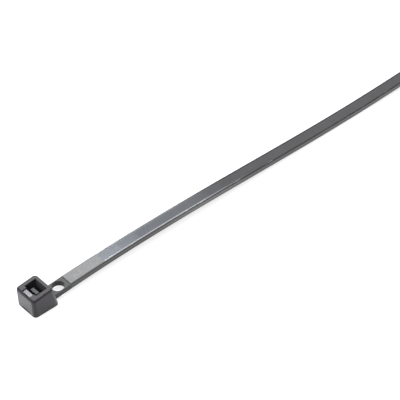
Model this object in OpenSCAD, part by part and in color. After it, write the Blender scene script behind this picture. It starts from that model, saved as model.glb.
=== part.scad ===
// Cable tie, moulded in one piece: head with a pawl, strap with a rack underneath.
// The strap runs along +X, the head's base and the strap's low point lie on z = 0,
// and the origin is the centre of the strap's passage in that base. Millimetres.

/* [Strap] */
// Length over everything, from the nose of the head to the tip of the tail
overall_l = 100; // [80:1:160]
// Width of the strap
strap_w = 2.5; // [2.2:0.1:3.2]
// Thickness of the strap over its side rails
strap_t = 1.1; // [0.9:0.05:1.3]
// Thickness of the web between the rails
web_t = 0.5; // [0.35:0.05:0.7]
// Width of each side rail
rail_w = 0.42; // [0.3:0.02:0.6]
// Radius of the four long edges
edge_r = 0.22; // [0.1:0.01:0.24]
// Diameter of the round hole beside the head
hole_d = 2.1; // [1.2:0.1:2.1]
// Gap between the head and the rim of the hole
hole_gap = 0.5; // [0.3:0.1:1.5]

/* [Rack] */
// Distance from one tooth to the next
tooth_pitch = 0.65; // [0.5:0.05:1]
// Height of a tooth
tooth_h = 0.35; // [0.2:0.05:0.5]
// Distance from the head's back to the first tooth
rack_start = 14; // [11:1:30]
// Plain length between the last tooth and the tip
tail_l = 12; // [8:1:20]

/* [Tail] */
// Length of the taper at the tip
taper_l = 9; // [4:1:14]
// Width at the tip
tip_w = 1.3; // [0.8:0.1:2]
// Thickness at the tip
tip_t = 0.7; // [0.5:0.05:0.9]

/* [Top face] */
// Length of the matt pad
pad_l = 6.7; // [4:0.1:10]
// Depth of the face round the hole, below the pad
neck_depth = 0.12; // [0.02:0.01:0.2]
// Depth of the polished inset
inset_depth = 0.05; // [0.02:0.01:0.1]
// Width of the border on each side of the inset
inset_border = 0.3; // [0.2:0.05:0.5]

/* [Rest shape] */
// Slope at which the strap leaves the head
leave_slope = 0.08; // [0:0.005:0.1]
// Distance from the head's back to the point where the strap lies on the bench
touch_l = 66; // [50:1:75]
// Height of the tip over the bench
tip_lift = 1; // [0:0.1:2]

/* [Head] */
// Height of the head at the back of its top face, before the edge is rounded
head_h = 3.7; // [3.2:0.1:4.8]
// How much lower the top face is at the nose
head_fall = 0.4; // [0:0.05:0.6]
// Thickness of the nose wall at the slot
nose_wall = 1.16; // [0.9:0.02:1.4]
// Thickness of the wall between the slot and the strap, at the top
back_wall = 0.6; // [0.4:0.05:1]
// Thickness of each side wall of the slot
side_wall = 0.86; // [0.6:0.02:1.2]
// How much longer the head is at its base than at its top
head_flare = 0.8; // [0.2:0.05:1.2]
// Radius of the head's upright edges
head_r = 0.6; // [0.4:0.05:1]
// Radius of the edges round the top face
rim_r = 0.38; // [0.1:0.02:0.38]

/* [Slot] */
// Clearance on each side of the strap in the slot
slot_side_gap = 0.2; // [0.1:0.01:0.4]
// Clearance across the strap's thickness in the slot
slot_gap = 0.15; // [0.1:0.05:0.4]
// Width of the polished ledge in the nose wall
ledge_w = 1.9; // [1.6:0.05:2.4]
// Depth of the ledge below the top face
ledge_drop = 0.2; // [0.1:0.05:0.6]
// Radius of the ledge's edge
ledge_r = 0.15; // [0.1:0.05:0.6]
// Rim left between the ledge and the nose
ledge_rim = 0.36; // [0.3:0.02:0.5]
// Width of the lead-in arch under the nose
arch_w = 3; // [2.6:0.1:3.2]
// Height of the lead-in arch under the nose
arch_h = 0.45; // [0.2:0.05:0.6]

/* [Pawl] */
// Room for the pawl between the strap's passage and the back wall
pawl_room = 0.8; // [0.8:0.02:1.1]
// Thickness of the floor that carries the pawl
floor_t = 0.7; // [0.5:0.05:0.9]
// Gap on each side of the pawl between the strap's rails
pawl_side_gap = 0.1; // [0.04:0.01:0.15]
// Depth of the pawl's tip below the top face
pawl_drop = 0.6; // [0.4:0.02:1]
// Length of the flat on the pawl's tip
pawl_tip_l = 0.57; // [0.5:0.01:0.7]
// Clearance between the pawl's teeth and the strap's web
pawl_clear = 0.03; // [0.02:0.01:0.1]
// Thickness of the pawl where it bends
hinge_t = 0.42; // [0.3:0.02:0.5]

/* [Hidden] */

plastic = [0.16, 0.16, 0.17];
eps = 0.05;
arc_fn = 48;
corner_steps = 8;
edge_steps = 4;
rim_steps = 8;
rim_over = 0.01;

// Head: the slot lies between the nose wall and the back wall, the passage round the origin
slot_w = strap_w + 2 * slot_side_gap;
passage_l = strap_t + slot_gap;
slot_l = passage_l + pawl_room;
head_w = slot_w + 2 * side_wall;
head_top_l = nose_wall + slot_l + back_wall;
head_base_l = head_top_l + head_flare;
nose_x = -passage_l / 2 - nose_wall;
back_x = nose_x + head_base_l;
top_back_x = nose_x + head_top_l;
back_lean = atan(head_flare / head_h);
top_tilt = atan(head_fall / head_top_l);
top_run = head_top_l / cos(top_tilt);
top_mid_x = (nose_x + top_back_x) / 2;

// Slot: the strap passes along the nose wall, with the pawl behind it
slot_x = nose_x + nose_wall;
passage_end_x = slot_x + passage_l;
slot_end_x = slot_x + slot_l;
arch_r = (pow(arch_w / 2, 2) + pow(arch_h, 2)) / (2 * arch_h);

// Strap: its root lies inside the head's back wall, on the level of the base
root_depth = 0.3;
root_x = back_x - root_depth;
tip_x = nose_x + overall_l;
touch_x = back_x + touch_l;
taper_x = tip_x - taper_l;
strap_step = 4;
channel_w = strap_w - 2 * rail_w;
channel_h = strap_t - web_t;
hole_x = back_x + hole_gap + hole_d / 2;
pad_gap = 0.6;
pad_x = hole_x + hole_d / 2 + pad_gap;
inset_x = pad_x + pad_l;
channel_x = pad_x;
rack_x = back_x + rack_start;
rack_end_x = tip_x - tail_l;
tooth_count = floor((rack_end_x - rack_x) / tooth_pitch);
tooth_front = 0.12;
tooth_crest = 0.3;
tooth_foot = 0.98;

// Pawl: leans from its floor towards the strap, with teeth that fit the rack
pawl_w = channel_w - 2 * pawl_side_gap;
pawl_x = slot_x + web_t + pawl_clear;
pawl_z = top_face(pawl_x) - pawl_drop;
hinge_step = 0.06;
hinge_x = passage_end_x + hinge_step;
pawl_bite = 0.8;
pawl_tooth_h = tooth_h * pawl_bite;
tooth_run = 0.85;
pawl_teeth = floor((pawl_z - floor_t) / tooth_pitch + 1 - tooth_run);

// Height of the head's top face over the bench
function top_face(x) = head_h - (top_back_x - x) * tan(top_tilt);

// Height of the strap's underside over the bench
function lift(x) =
    x < root_x ? 0 :
    x < touch_x
        ? leave_slope * (x - root_x) * pow(1 - (x - root_x) / (touch_x - root_x), 2)
        : tip_lift * pow((x - touch_x) / (tip_x - touch_x), 2);

// Thickness of the strap, thinner along the taper
function thickness(x) = strap_t - (strap_t - tip_t) * max(0, (x - taper_x) / taper_l);

function top(x) = lift(x) + thickness(x);

// Places along the strap where its bowed faces are divided
function stations(from, to) =
    let (n = max(1, ceil((to - from) / strap_step)))
    [for (i = [0 : n]) from + (to - from) * i / n];

// Outline, seen from the side, between two offsets from the underside and the top
function side_outline(from, to, low, high) = concat(
    [for (x = stations(from, to)) [x, lift(x) + low]],
    [for (i = [len(stations(from, to)) - 1 : -1 : 0])
        let (x = stations(from, to)[i]) [x, top(x) + high]]
);

// Extrudes an outline drawn in X and Z across the width w, centred on y = 0
module across(w) {
    translate([0, w / 2, 0])
        rotate([90, 0, 0])
            linear_extrude(w)
                children();
}

// Bowed bar, turned about X: a face that touches the rounding of two opposite long edges
module turned_bar(angle) {
    reach = (strap_w / 2 - edge_r) * sin(abs(angle)) + edge_r * (1 - cos(angle));
    outline = side_outline(root_x, tip_x, 0, 0);
    rotate([angle, 0, 0])
        across(3 * strap_w)
            polygon([for (i = [0 : len(outline) - 1])
                let (side = i < len(outline) / 2 ? -1 : 1)
                [outline[i][0], outline[i][1] * cos(angle) + side * reach]]);
}

// Plan of the strap with its tapered, rounded tip
module strap_plan() {
    tip_r = tip_w / 2;
    polygon([
        [root_x, -strap_w / 2],
        [taper_x, -strap_w / 2],
        [tip_x - tip_r, -tip_r],
        [tip_x - tip_r, tip_r],
        [taper_x, strap_w / 2],
        [root_x, strap_w / 2]
    ]);
    translate([tip_x - tip_r, 0])
        circle(r = tip_r, $fn = arc_fn);
}

// Bowed strap with round long edges
module strap_bar() {
    intersection() {
        across(strap_w)
            polygon(side_outline(root_x, tip_x, 0, 0));
        intersection_for(i = [1 : edge_steps - 1], side = [-1, 1])
            turned_bar(side * i * 90 / edge_steps);
        translate([0, 0, -eps])
            linear_extrude(head_h)
                strap_plan();
    }
}

// Channel between the rails, from the pad on, with the rack standing in it: each
// tooth is square towards the head and slopes towards the tip
module rack_channel() {
    tooth = [[tooth_front, tooth_h], [tooth_crest, tooth_h], [tooth_foot, 0]];
    roof = concat(
        [for (x = stations(channel_x, rack_x)) [x, lift(x) + channel_h]],
        [for (i = [0 : tooth_count - 1])
            let (x = rack_x + i * tooth_pitch)
            for (p = tooth)
                [x + p[0] * tooth_pitch, lift(x + p[0] * tooth_pitch) + channel_h - p[1]]],
        [[rack_end_x, lift(rack_end_x) + channel_h]]
    );
    ground = [for (x = stations(channel_x, rack_end_x)) [x, lift(x) - 1]];
    across(channel_w)
        polygon(concat(roof, [for (i = [len(ground) - 1 : -1 : 0]) ground[i]]));
}

// Polished inset along the top, with a round end at the pad
module top_inset() {
    w = strap_w - 2 * inset_border;
    intersection() {
        across(strap_w)
            polygon(side_outline(inset_x - eps, taper_x, strap_t - inset_depth, 1));
        linear_extrude(2 * head_h) {
            translate([inset_x + w / 2, 0])
                circle(d = w, $fn = arc_fn);
            translate([inset_x + w / 2, -w / 2])
                square([taper_x - inset_x - w / 2, w]);
        }
    }
}

// Lower face round the hole, up to the step of the pad
module neck_recess() {
    across(strap_w + 1)
        polygon(side_outline(root_x, pad_x, strap_t - neck_depth, 1));
}

module strap() {
    difference() {
        strap_bar();
        rack_channel();
        top_inset();
        neck_recess();
        translate([hole_x, 0, -1])
            cylinder(d = hole_d, h = head_h, $fn = arc_fn);
    }
}

// Rounded rectangle between two X values, with round corners
module plan_block(from, to) {
    translate([from + head_r, -head_w / 2])
        square([to - from - 2 * head_r, head_w]);
    translate([from, -head_w / 2 + head_r])
        square([to - from, head_w - 2 * head_r]);
    for (x = [from + head_r, to - head_r], s = [-1, 1])
        translate([x, s * (head_w / 2 - head_r)])
            circle(r = head_r, $fn = arc_fn);
}

// Round corner of an outline at p, between its neighbours a and b
function corner(p, a, b, r) =
    let (
        u = (a - p) / norm(a - p),
        v = (b - p) / norm(b - p),
        half = acos(u * v) / 2,
        centre = p + (u + v) / norm(u + v) * r / sin(half),
        first = p + u * r / tan(half) - centre,
        last = p + v * r / tan(half) - centre
    )
    [for (i = [0 : corner_steps])
        let (d = first + (last - first) * i / corner_steps)
        centre + d * r / norm(d)];

// Head seen from the side: upright nose, rising top, leaning back, round upper edges
module side_profile() {
    nose = [nose_x, 0];
    front = [nose_x, top_face(nose_x)];
    rear = [top_back_x, head_h];
    heel = [back_x, 0];
    polygon(concat([nose], corner(front, nose, rear, rim_r), corner(rear, front, heel, rim_r), [heel]));
}

// Band that rounds the rim's edge square to the direction angle, and clears the rest
module rim_band(angle) {
    reach = (top_run / 2 - head_r) * abs(cos(angle))
        + (head_w / 2 - head_r) * abs(sin(angle)) + head_r + rim_over;
    edge = [reach, rim_over];
    clear = 4 * head_w;
    rotate([0, 0, angle])
        across(clear)
            polygon(concat(
                [[-clear, -clear], [-clear, clear], [reach - rim_r - clear, rim_over + clear]],
                corner(edge, edge - [1, 0], edge - [0, 1], rim_r),
                [[reach + clear, rim_over - rim_r - clear]]
            ));
}

// Head block: where its side, an upright plan, a leaning plan and the rim's bands meet
module head_block() {
    intersection() {
        across(2 * head_w)
            side_profile();
        linear_extrude(head_h)
            plan_block(nose_x, back_x + 2 * head_r);
        translate([back_x, 0, 0])
            rotate([0, -back_lean, 0])
                translate([0, 0, -head_h])
                    linear_extrude(3 * head_h)
                        plan_block(-2 * head_base_l, 0);
        intersection_for(side = [0, 180], i = [1 : rim_steps - 1])
            translate([top_mid_x, 0, top_face(top_mid_x)])
                rotate([0, -top_tilt, 0])
                    rim_band(side + i * 180 / rim_steps);
    }
}

// Passage for the strap, with the pawl's pocket open to the top face
module slot() {
    across(slot_w) {
        translate([slot_x, -eps])
            square([passage_l, head_h + 2 * eps]);
        translate([slot_x, floor_t])
            square([slot_l, head_h]);
    }
}

// Ledge in the nose wall, level with the top face, which rounds over into the slot
module ledge() {
    inner = [ledge_rim - nose_wall, -ledge_drop];
    across(ledge_w)
        translate([slot_x, top_face(slot_x)])
            rotate(top_tilt)
                polygon(concat(
                    [[inner[0], eps], inner],
                    corner([0, -ledge_drop], inner, [0, -head_h], ledge_r),
                    [[eps, -ledge_drop - ledge_r], [eps, eps]]
                ));
}

// Lead-in arch under the nose wall, where the tail bends up into the slot
module entry_arch() {
    translate([nose_x - eps, 0, arch_h - arch_r])
        rotate([0, 90, 0])
            cylinder(r = arch_r, h = nose_wall + 2 * eps, $fn = 2 * arc_fn);
}

// Pawl: square on top of each tooth, so that the strap only passes upwards
module pawl() {
    function front(z) = hinge_x
        + (pawl_x + pawl_tooth_h - hinge_x) * (z - floor_t) / (pawl_z - floor_t);
    teeth = [for (i = [0 : pawl_teeth - 1])
        let (z = pawl_z - i * tooth_pitch)
        for (p = [[front(z), z], [front(z) - pawl_tooth_h, z],
                  [front(z - tooth_run * tooth_pitch), z - tooth_run * tooth_pitch]])
            p];
    across(pawl_w)
        polygon(concat(
            [[hinge_x + hinge_t, floor_t - eps], [pawl_x + pawl_tip_l, pawl_z]],
            teeth,
            [[hinge_x, floor_t - eps]]
        ));
}

module cable_tie() {
    color(plastic) {
        difference() {
            union() {
                strap();
                head_block();
            }
            slot();
            ledge();
            entry_arch();
        }
        pawl();
    }
}

cable_tie();
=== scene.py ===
import math
from types import SimpleNamespace

import bpy
from mathutils import Matrix, Vector


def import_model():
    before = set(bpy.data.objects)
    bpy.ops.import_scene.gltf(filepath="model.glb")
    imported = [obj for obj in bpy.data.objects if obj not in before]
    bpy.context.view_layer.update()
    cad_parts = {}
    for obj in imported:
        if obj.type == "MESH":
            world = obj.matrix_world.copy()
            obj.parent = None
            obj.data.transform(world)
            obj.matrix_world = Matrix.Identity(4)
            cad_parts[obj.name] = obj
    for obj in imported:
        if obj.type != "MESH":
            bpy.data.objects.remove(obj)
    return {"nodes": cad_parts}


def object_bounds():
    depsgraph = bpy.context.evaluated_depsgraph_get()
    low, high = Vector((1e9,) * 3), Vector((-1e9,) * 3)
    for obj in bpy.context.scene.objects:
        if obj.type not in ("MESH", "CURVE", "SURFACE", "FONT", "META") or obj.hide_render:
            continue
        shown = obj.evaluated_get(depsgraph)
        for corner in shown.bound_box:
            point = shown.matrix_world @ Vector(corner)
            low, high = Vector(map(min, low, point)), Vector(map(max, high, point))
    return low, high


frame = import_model()
cad_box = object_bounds()

MM = 0.001

# Camera, from a least-squares fit of the part's own edges. Angles are in degrees
CAM_PLACE = Vector((-64.645, -106.254, 123.954)) * MM
CAM_AZIMUTH, CAM_ELEVATION, CAM_ROLL = -132.9075, 40.2711, -0.2579
CAM_FOCAL_PX, PICTURE_PX, SENSOR = 1141.45, 400, 36.0
# Its clipping distances in m
CAM_NEAR, CAM_FAR = 0.01, 10.0

# Zones of the moulding along the strap, in mm
HEAD_END, PAD_START, PAD_END = 2.82, 6.025, 12.725
# The head's top face rises by TOP_RISE per mm from TOP_LEVEL at x = 0
TOP_LEVEL, TOP_RISE = 3.487, 0.105

# Stretches in mm, as low edge, high edge and half the width of each soft edge
SLOT_ALONG, SLOT_LEVEL = (-1.45, 1.44, 0.02), (0.3, TOP_LEVEL - 0.1, 0.03)
NECK_ALONG, PAD_ALONG = (HEAD_END, PAD_START, 0.03), (PAD_START, PAD_END, 0.03)
PALE_SIDE_REFLECTION_ALONG = (26.0, 42.0, 6.0)

# Soft edges in mm, as the place where a mask is 0 and the place where it is 1
HEAD_BACK = (HEAD_END + 0.05, HEAD_END - 0.05)
BACK_HIGHLIGHT_EDGE = (1.5, 2.8)
SLOT_SIDE, SLOT_DEPTH = (1.47, 1.44), (2.9, 1.9)
LEDGE_BACK, LEDGE_HIGHLIGHT_FRONT, LEDGE_HIGHLIGHT_FAR = (-0.5, -0.6), (-1.22, -1.30), (0.75, 0.82)
NOSE_TOP_FRONT, NOSE_TOP_LEVEL = (-1.35, -1.50), (TOP_LEVEL - 0.5, TOP_LEVEL - 0.3)
NOSE_CORNER, PAST_CORNER = (-1.6, -1.9), (-1.9, -1.5)
PAD_SIDE, BAND_SIDE, FLANK_SIDE = (1.24, 1.20), (0.99, 0.91), (1.05, 1.10)
PAST_PAD, TINT_FADE = (PAD_END, PAD_END + 0.1), (45.0, 22.0)
# The painted highlight on the borders beside the polished band: across the strap, then where it fades
# along it
NEAR_BORDER = (0.92, 0.98), (47.0, 30.0)
FAR_BORDER = (0.68, 1.15), (41.0, 25.0)

# Soft edges of the parts of a face's normal, which run from -1 to 1, and then stretches of them
UPWARD, NOT_DOWNWARD, ROUND_TOP = (0.90, 0.97), (-0.3, -0.1), (0.66, 0.86)
NOSEWARD, SQUARE_TO_NOSE = (-0.2, -0.4), (-0.75, -0.95)
UNDER_EDGE_TURN, WALL_TURN = (0.10, 0.62, 0.05), (-0.30, 0.10, 0.05)

# Base colours, many of them painted light and shade. A pair is mixed by a noise, or inside the slot
# from its walls to the pawl's tip
PLAIN = (0.034, 0.031, 0.034), (0.042, 0.039, 0.043)
ERODED = (0.029, 0.024, 0.029), (0.039, 0.034, 0.040)
# The pad's paler matt grain, with a painted sheen laid into its colour
PAD_GRAIN_AND_SHEEN = (0.155, 0.152, 0.145), (0.215, 0.211, 0.203)
# Painted light inside the slot: on its walls, lighter on the pawl's upward tip, and in its deep part
SLOT_PAINTED_LIGHT, DEEP_SLOT_PAINTED_LIGHT = ((0.055, 0.050, 0.053), (0.072, 0.069, 0.074)), (0.125, 0.118, 0.122)
# Painted highlights on the ledge's edges and the strap's borders, and painted light on the neck's top
LEDGE_HIGHLIGHT, NECK_TOP_PAINTED_LIGHT, BORDER_HIGHLIGHT = (0.260, 0.262, 0.270), (0.068, 0.070, 0.068), (0.430, 0.440, 0.455)
# Painted reflections of the floor on the strap's sides, paler over one stretch, and a painted dark band
# on the edge rounding
SIDE_REFLECTION, PALE_SIDE_REFLECTION, PAINTED_DARK_BAND = (0.058, 0.056, 0.056), (0.150, 0.147, 0.146), (0.010, 0.010, 0.011)
# A painted highlight on the head's back end, and painted shade on the nose's top edge and near corner
BACK_HIGHLIGHT, NOSE_PAINTED_SHADE = (0.085, 0.083, 0.084), (0.014, 0.012, 0.015)
# Tint of the gloss, on the polished band and elsewhere
BLUISH, CLEAR = (0.86, 0.93, 1.0), (1.0, 1.0, 1.0)

# Spots per mm of the noises, and how far the strap's noise is drawn out along it
GRAIN_PER_MM, PITS_PER_MM, FLOW_PER_MM, DRAWN_PER_MM = 9.0, 3.2, 0.35, 2.6
DRAWN_OUT = (0.12, 1.0, 1.0)
# The stretch of a noise over which a pair is mixed
SPOTS, CLOUDS = (0.3, 0.7), (0.35, 0.65)
# Roughness. A pair is mixed by a noise
POLISHED, HEAD_ROUGH, PAD_ROUGH = (0.13, 0.19), (0.32, 0.42), (0.30, 0.38)
STRAP_ROUGH, NECK_AND_SLOT_ROUGH = 0.16, 0.42
NYLON_IOR = 1.53
# Specular levels
GLOSSY, DULL, DARKEST = 0.5, 0.32, 0.25
# The grain's depth is in mm, and the strap has this share of it
BUMP_STRENGTH, BUMP_DEPTH, STRAP_BUMP = 0.5, 0.02, 0.12

# Half the paper's width in m
FLOOR_HALF = 3.0
# The paper's patch of painted shade, under the slot and the arch under the nose, in mm
SHADE_ALONG = (cad_box[0][0] / MM, 0.9, 0.02)
SHADE_SIDE = (1.55, 1.52)
PAPER, SHADED_PAPER = (0.8, 0.8, 0.8), (0.12, 0.12, 0.12)
# Strengths of the paper's lift and of the world: seen straight, in a gloss, and as light
FLOOR_LIFT = (0.70, 0.92, 0.0)
SURROUNDINGS = (1.0, 0.8, 0.38)

# Back lights on one plane: left, right, low and high edges in mm, and radiance
BANK_TOWARD, BANK_DISTANCE = Vector((0.10, 0.75, 0.62)), 0.6
BANK = (
    (-50, 250, 90, 190, 10.0),
    (140, 350, -120, 330, 2.2),
    (320, 520, -120, 330, 0.6),
    (150, 450, 200, 450, 6.0),
)
BANK_COLOUR = (0.92, 0.95, 1.0)
# One wide light before the nose: direction, distance and size in m, and radiance
NOSE_TOWARD, NOSE_DISTANCE = Vector((-1.0, 0.25, 0.42)), 0.6
NOSE_SIZE, NOSE_RADIANCE = (1.0, 0.42), 2.5

scene = bpy.context.scene
tie = frame["nodes"]["cable_tie"]


def camera():
    az, el, roll = (math.radians(a) for a in (CAM_AZIMUTH, CAM_ELEVATION, CAM_ROLL))
    back = Vector((math.cos(el) * math.cos(az), math.cos(el) * math.sin(az), math.sin(el)))
    right = (-back).cross(Vector((0, 0, 1))).normalized()
    up = right.cross(-back)
    right, up = (
        math.cos(roll) * right + math.sin(roll) * up,
        -math.sin(roll) * right + math.cos(roll) * up,
    )
    data = bpy.data.cameras.new("camera")
    data.sensor_fit = "HORIZONTAL"
    data.sensor_width = SENSOR
    data.lens = CAM_FOCAL_PX / PICTURE_PX * SENSOR
    data.clip_start, data.clip_end = CAM_NEAR, CAM_FAR
    obj = bpy.data.objects.new("camera", data)
    turn = Matrix((right, up, back)).transposed().to_4x4()
    obj.matrix_world = Matrix.Translation(CAM_PLACE) @ turn
    scene.collection.objects.link(obj)
    scene.camera = obj


class Nodes:
    """Short names for adding and joining shader nodes. A mask is 1 in its zone and 0 outside."""

    def __init__(self, tree):
        self.tree = tree
        tree.nodes.clear()

    def add(self, kind, **values):
        node = self.tree.nodes.new(kind)
        for name, value in values.items():
            setattr(node, name, value)
        return node

    def join(self, source, target):
        self.tree.links.new(source, target)

    def fill(self, socket, value):
        """Sets a socket to a number or a colour, or joins an output to it."""
        if isinstance(value, (int, float)):
            socket.default_value = value
        elif isinstance(value, tuple):
            socket.default_value = (*value, 1)
        else:
            self.join(value, socket)

    def math(self, operation, *values, clamp=False):
        node = self.add("ShaderNodeMath", operation=operation, use_clamp=clamp)
        for socket, value in zip(node.inputs, values):
            self.fill(socket, value)
        return node.outputs[0]

    def step(self, value, edge):
        """A mask that runs smoothly from 0 to 1 between the two numbers of edge."""
        node = self.add("ShaderNodeMapRange", interpolation_type="SMOOTHSTEP")
        self.join(value, node.inputs["Value"])
        node.inputs["From Min"].default_value, node.inputs["From Max"].default_value = edge
        return node.outputs["Result"]

    def between(self, value, stretch):
        low, high, soft = stretch
        return self.overlap(
            self.step(value, (low - soft, low + soft)),
            self.step(value, (high + soft, high - soft)),
        )

    def overlap(self, *masks):
        product = masks[0]
        for mask in masks[1:]:
            product = self.math("MULTIPLY", product, mask)
        return product

    def either(self, a, b):
        return self.math("MAXIMUM", a, b)

    def without(self, a, b):
        return self.math("SUBTRACT", a, b, clamp=True)

    def noise(self, place, per_mm, detail):
        node = self.add("ShaderNodeTexNoise")
        node.inputs["Scale"].default_value = per_mm
        node.inputs["Detail"].default_value = detail
        node.inputs["Roughness"].default_value = 0.55
        self.join(place, node.inputs["Vector"])
        return node.outputs["Fac"]

    def mix(self, factor, a, b):
        """A float between two numbers or outputs."""
        node = self.add("ShaderNodeMix", data_type="FLOAT")
        for i, value in ((0, factor), (2, a), (3, b)):
            self.fill(node.inputs[i], value)
        return node.outputs[0]

    def colour(self, factor, a, b):
        node = self.add("ShaderNodeMix", data_type="RGBA")
        for i, value in ((0, factor), (6, a), (7, b)):
            self.fill(node.inputs[i], value)
        return node.outputs[2]

    def place(self):
        """The object's own coordinates in mm."""
        node = self.add("ShaderNodeVectorMath", operation="SCALE")
        self.join(self.add("ShaderNodeTexCoord").outputs["Object"], node.inputs[0])
        node.inputs["Scale"].default_value = 1 / MM
        return node.outputs[0]

    def parts(self, vector):
        node = self.add("ShaderNodeSeparateXYZ")
        self.join(vector, node.inputs[0])
        return node.outputs


def head_zones(n, x, y, level, facing, upward):
    """Masks on the head and in its slot."""
    side = n.math("ABSOLUTE", y)
    head = n.step(x, HEAD_BACK)
    slot = n.overlap(n.between(x, SLOT_ALONG), n.step(side, SLOT_SIDE), n.between(level, SLOT_LEVEL))
    ledge = n.overlap(slot, upward, n.step(x, LEDGE_BACK))
    well = n.without(slot, ledge)
    shell = n.without(head, slot)
    return SimpleNamespace(
        head=head,
        slot=slot,
        ledge=ledge,
        shell=shell,
        ledge_highlight=n.overlap(ledge, n.either(n.step(x, LEDGE_HIGHLIGHT_FRONT), n.step(y, LEDGE_HIGHLIGHT_FAR))),
        well=well,
        deep_painted_light=n.overlap(well, n.step(level, SLOT_DEPTH)),
        back_highlight=n.overlap(shell, n.step(x, BACK_HIGHLIGHT_EDGE)),
        nose_top_shade=n.overlap(shell, n.step(x, NOSE_TOP_FRONT), n.step(level, NOSE_TOP_LEVEL)),
        nose_corner_shade=n.overlap(shell, n.step(facing[0], NOSEWARD), n.step(y, NOSE_CORNER)),
        nose_face=n.overlap(shell, n.step(facing[0], SQUARE_TO_NOSE), n.step(y, PAST_CORNER)),
    )


def strap_zones(n, x, y, head, facing, upward):
    """Masks on the neck, the pad and the strap."""
    side = n.math("ABSOLUTE", y)
    past_pad = n.step(x, PAST_PAD)
    near, far = (
        n.overlap(n.step(across, edge), n.step(x, fade))
        for across, (edge, fade) in ((n.math("MULTIPLY", y, -1.0), NEAR_BORDER), (y, FAR_BORDER))
    )
    flank = n.overlap(n.step(side, FLANK_SIDE), n.without(1.0, head))
    band = n.overlap(past_pad, upward, n.step(side, BAND_SIDE))
    side_reflection = n.overlap(flank, n.between(facing[2], WALL_TURN))
    return SimpleNamespace(
        neck=n.between(x, NECK_ALONG),
        pad=n.overlap(n.between(x, PAD_ALONG), n.step(side, PAD_SIDE), n.step(facing[2], NOT_DOWNWARD)),
        band=band,
        tinted=n.overlap(band, n.step(x, TINT_FADE)),
        border_highlight=n.overlap(n.either(near, far), n.step(facing[2], ROUND_TOP), past_pad),
        painted_dark_band=n.overlap(flank, n.between(facing[2], UNDER_EDGE_TURN)),
        side_reflection=side_reflection,
        pale_side_reflection=n.overlap(side_reflection, n.between(x, PALE_SIDE_REFLECTION_ALONG)),
    )


def noises(n, place):
    """Fine grain and pits of the eroded mould, then slow and drawn-out flow of the strap."""
    stretched = n.add("ShaderNodeVectorMath", operation="MULTIPLY")
    n.join(place, stretched.inputs[0])
    stretched.inputs[1].default_value = DRAWN_OUT
    return (
        n.noise(place, GRAIN_PER_MM, detail=4.0),
        n.noise(place, PITS_PER_MM, detail=2.0),
        n.noise(place, FLOW_PER_MM, detail=2.0),
        n.noise(stretched.outputs[0], DRAWN_PER_MM, detail=3.0),
    )


def base_colour(n, on_head, on_strap, upward, pits, flow):
    """The nylon's colour, with painted light and shade: each zone of the list lies over those before
    it.
    """
    coarse = n.step(pits, SPOTS)
    tone = n.colour(n.step(flow, CLOUDS), *PLAIN)
    for zone, colour in (
        # Painted light on the slot's walls, lighter on upward faces such as the pawl's tip
        (on_head.well, n.colour(upward, *SLOT_PAINTED_LIGHT)),
        # Painted light deep in the slot
        (on_head.deep_painted_light, DEEP_SLOT_PAINTED_LIGHT),
        # A painted highlight along the ledge's nose-side and far edges
        (on_head.ledge_highlight, LEDGE_HIGHLIGHT),
        # Painted light on the neck's upward faces
        (n.overlap(on_strap.neck, upward), NECK_TOP_PAINTED_LIGHT),
        # A painted highlight on the strap's rounded borders, fading along the strap
        (on_strap.border_highlight, BORDER_HIGHLIGHT),
        # A painted reflection of the floor on the strap's sides
        (on_strap.side_reflection, SIDE_REFLECTION),
        # A paler painted reflection on the strap's sides over one stretch
        (on_strap.pale_side_reflection, PALE_SIDE_REFLECTION),
        (on_head.shell, n.colour(coarse, *ERODED)),
        # A painted highlight on the head's back end
        (on_head.back_highlight, BACK_HIGHLIGHT),
        # Painted shade on the nose's top edge and its near corner
        (on_head.nose_top_shade, NOSE_PAINTED_SHADE),
        (on_head.nose_corner_shade, NOSE_PAINTED_SHADE),
        # The pad: its paler matt grain, with a painted sheen in the colour
        (on_strap.pad, n.colour(coarse, *PAD_GRAIN_AND_SHEEN)),
        # A painted dark reflection on the strap's edge rounding, below the painted highlight
        (on_strap.painted_dark_band, PAINTED_DARK_BAND),
    ):
        tone = n.colour(zone, tone, colour)
    return tone


def roughness(n, on_head, on_strap, matt, grain, drawn):
    fine = n.step(grain, SPOTS)
    polish = n.either(on_strap.band, on_head.ledge)
    smooth = n.mix(n.either(on_strap.neck, on_head.slot), STRAP_ROUGH, NECK_AND_SLOT_ROUGH)
    smooth = n.mix(polish, smooth, n.mix(n.step(drawn, SPOTS), *POLISHED))
    rough = n.mix(on_strap.pad, n.mix(fine, *HEAD_ROUGH), n.mix(fine, *PAD_ROUGH))
    return n.mix(matt, smooth, rough)


def specular_level(n, on_head, on_strap):
    dull = n.either(n.either(on_head.shell, on_head.well), on_strap.neck)
    dull = n.without(dull, on_head.nose_face)
    darkest = n.either(on_strap.painted_dark_band, on_head.nose_top_shade)
    return n.mix(darkest, n.mix(dull, GLOSSY, DULL), DARKEST)


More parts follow.
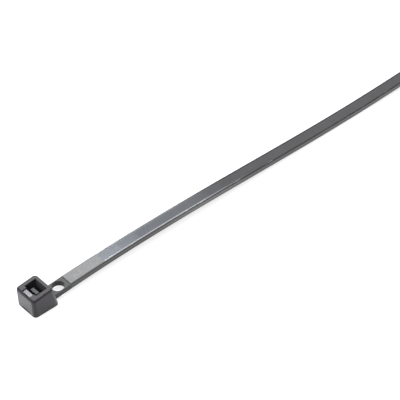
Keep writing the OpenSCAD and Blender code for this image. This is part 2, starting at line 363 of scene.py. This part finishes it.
def nylon():
    """Black moulded nylon: spark-eroded grain on the head and pad, polish on strap and ledge."""
    mat = bpy.data.materials.new("nylon_moulded")
    mat.use_nodes = True
    n = Nodes(mat.node_tree)
    place = n.place()
    x, y, z = n.parts(place)
    level = n.math("SUBTRACT", z, n.math("MULTIPLY", x, TOP_RISE))
    facing = n.parts(n.add("ShaderNodeNewGeometry").outputs["Normal"])
    upward = n.step(facing[2], UPWARD)
    on_head = head_zones(n, x, y, level, facing, upward)
    on_strap = strap_zones(n, x, y, on_head.head, facing, upward)
    matt = n.either(on_head.shell, on_strap.pad)
    grain, pits, flow, drawn = noises(n, place)

    bsdf = n.add("ShaderNodeBsdfPrincipled")
    bsdf.inputs["IOR"].default_value = NYLON_IOR
    n.join(base_colour(n, on_head, on_strap, upward, pits, flow), bsdf.inputs["Base Color"])
    n.join(roughness(n, on_head, on_strap, matt, grain, drawn), bsdf.inputs["Roughness"])
    n.join(specular_level(n, on_head, on_strap), bsdf.inputs["Specular IOR Level"])
    n.join(n.colour(on_strap.tinted, CLEAR, BLUISH), bsdf.inputs["Specular Tint"])

    bump = n.add("ShaderNodeBump")
    bump.inputs["Strength"].default_value = BUMP_STRENGTH
    bump.inputs["Distance"].default_value = BUMP_DEPTH * MM
    height = n.mix(matt, n.math("MULTIPLY", drawn, STRAP_BUMP), n.mix(0.5, grain, pits))
    n.join(height, bump.inputs["Height"])
    n.join(bump.outputs["Normal"], bsdf.inputs["Normal"])

    out = n.add("ShaderNodeOutputMaterial")
    n.join(bsdf.outputs[0], out.inputs["Surface"])
    return mat


def dress():
    """The tie's nylon, with smooth shading that leaves its large faces flat."""
    tie.data.materials.clear()
    tie.data.materials.append(nylon())
    for face in tie.data.polygons:
        face.use_smooth = True
    normals = tie.modifiers.new("face_normals", "WEIGHTED_NORMAL")
    normals.mode = "FACE_AREA"
    normals.weight = 100
    normals.thresh = 0.01


def by_ray(n, seen, mirrored, scattered):
    """A strength by the kind of ray: straight to the camera, off a gloss, or scattered."""
    rays = n.add("ShaderNodeLightPath").outputs
    straight = n.either(rays["Is Camera Ray"], rays["Is Transmission Ray"])
    return n.mix(straight, n.mix(rays["Is Glossy Ray"], scattered, mirrored), seen)


def paper():
    """White paper that keeps the shadow, and is clear from beneath so that the rack shows."""
    mat = bpy.data.materials.new("floor_white")
    mat.use_nodes = True
    n = Nodes(mat.node_tree)
    x, y, _ = n.parts(n.place())
    shade = n.overlap(n.between(x, SHADE_ALONG), n.step(n.math("ABSOLUTE", y), SHADE_SIDE))
    sheet = n.add("ShaderNodeBsdfDiffuse")
    n.join(n.colour(shade, PAPER, SHADED_PAPER), sheet.inputs["Color"])
    lift = n.add("ShaderNodeEmission")
    lift.inputs["Color"].default_value = (1, 1, 1, 1)
    n.join(n.overlap(by_ray(n, *FLOOR_LIFT), n.without(1.0, shade)), lift.inputs["Strength"])
    from_above = n.add("ShaderNodeAddShader")
    n.join(sheet.outputs[0], from_above.inputs[0])
    n.join(lift.outputs[0], from_above.inputs[1])
    by_side = n.add("ShaderNodeMixShader")
    n.join(n.add("ShaderNodeNewGeometry").outputs["Backfacing"], by_side.inputs[0])
    n.join(from_above.outputs[0], by_side.inputs[1])
    n.join(n.add("ShaderNodeBsdfTransparent").outputs[0], by_side.inputs[2])
    out = n.add("ShaderNodeOutputMaterial")
    n.join(by_side.outputs[0], out.inputs["Surface"])
    return mat


def floor():
    corners = [(x * FLOOR_HALF, y * FLOOR_HALF, 0) for x, y in ((-1, -1), (1, -1), (1, 1), (-1, 1))]
    mesh = bpy.data.meshes.new("floor")
    mesh.from_pydata(corners, [], [(0, 1, 2, 3)])
    mesh.materials.append(paper())
    obj = bpy.data.objects.new("floor", mesh)
    scene.collection.objects.link(obj)


def world():
    w = bpy.data.worlds.new("studio")
    scene.world = w
    w.use_nodes = True
    n = Nodes(w.node_tree)
    back = n.add("ShaderNodeBackground")
    back.inputs["Color"].default_value = (1, 1, 1, 1)
    n.join(by_ray(n, *SURROUNDINGS), back.inputs["Strength"])
    out = n.add("ShaderNodeOutputWorld")
    n.join(back.outputs[0], out.inputs["Surface"])


def softbox(name, place, toward, size, radiance, colour=(1, 1, 1)):
    """A soft rectangular light at place, facing the opposite of toward."""
    data = bpy.data.lights.new(name, "AREA")
    data.shape = "RECTANGLE"
    data.size, data.size_y = size
    data.energy = radiance * math.pi * size[0] * size[1]
    data.color = colour
    obj = bpy.data.objects.new(name, data)
    obj.location = place
    obj.rotation_mode = "QUATERNION"
    obj.rotation_quaternion = (-toward).to_track_quat("-Z", "Y")
    obj.visible_camera = False
    scene.collection.objects.link(obj)


def lights():
    """A bank behind the tie that is brightest at its left end, and one light before the nose."""
    toward = BANK_TOWARD.normalized()
    along = Vector((0, 0, 1)).cross(-toward).normalized()
    up = (-toward).cross(along)
    for i, (left, right, low, high, radiance) in enumerate(BANK):
        middle = toward * BANK_DISTANCE
        middle += along * (left + right) / 2 * MM + up * (low + high) / 2 * MM
        size = ((right - left) * MM, (high - low) * MM)
        softbox("bank_%d" % i, middle, toward, size, radiance, BANK_COLOUR)
    nose = NOSE_TOWARD.normalized()
    softbox("softbox_nose", nose * NOSE_DISTANCE, nose, NOSE_SIZE, NOSE_RADIANCE)


dress()
floor()
world()
lights()
camera()
scene.view_settings.view_transform = "Standard"
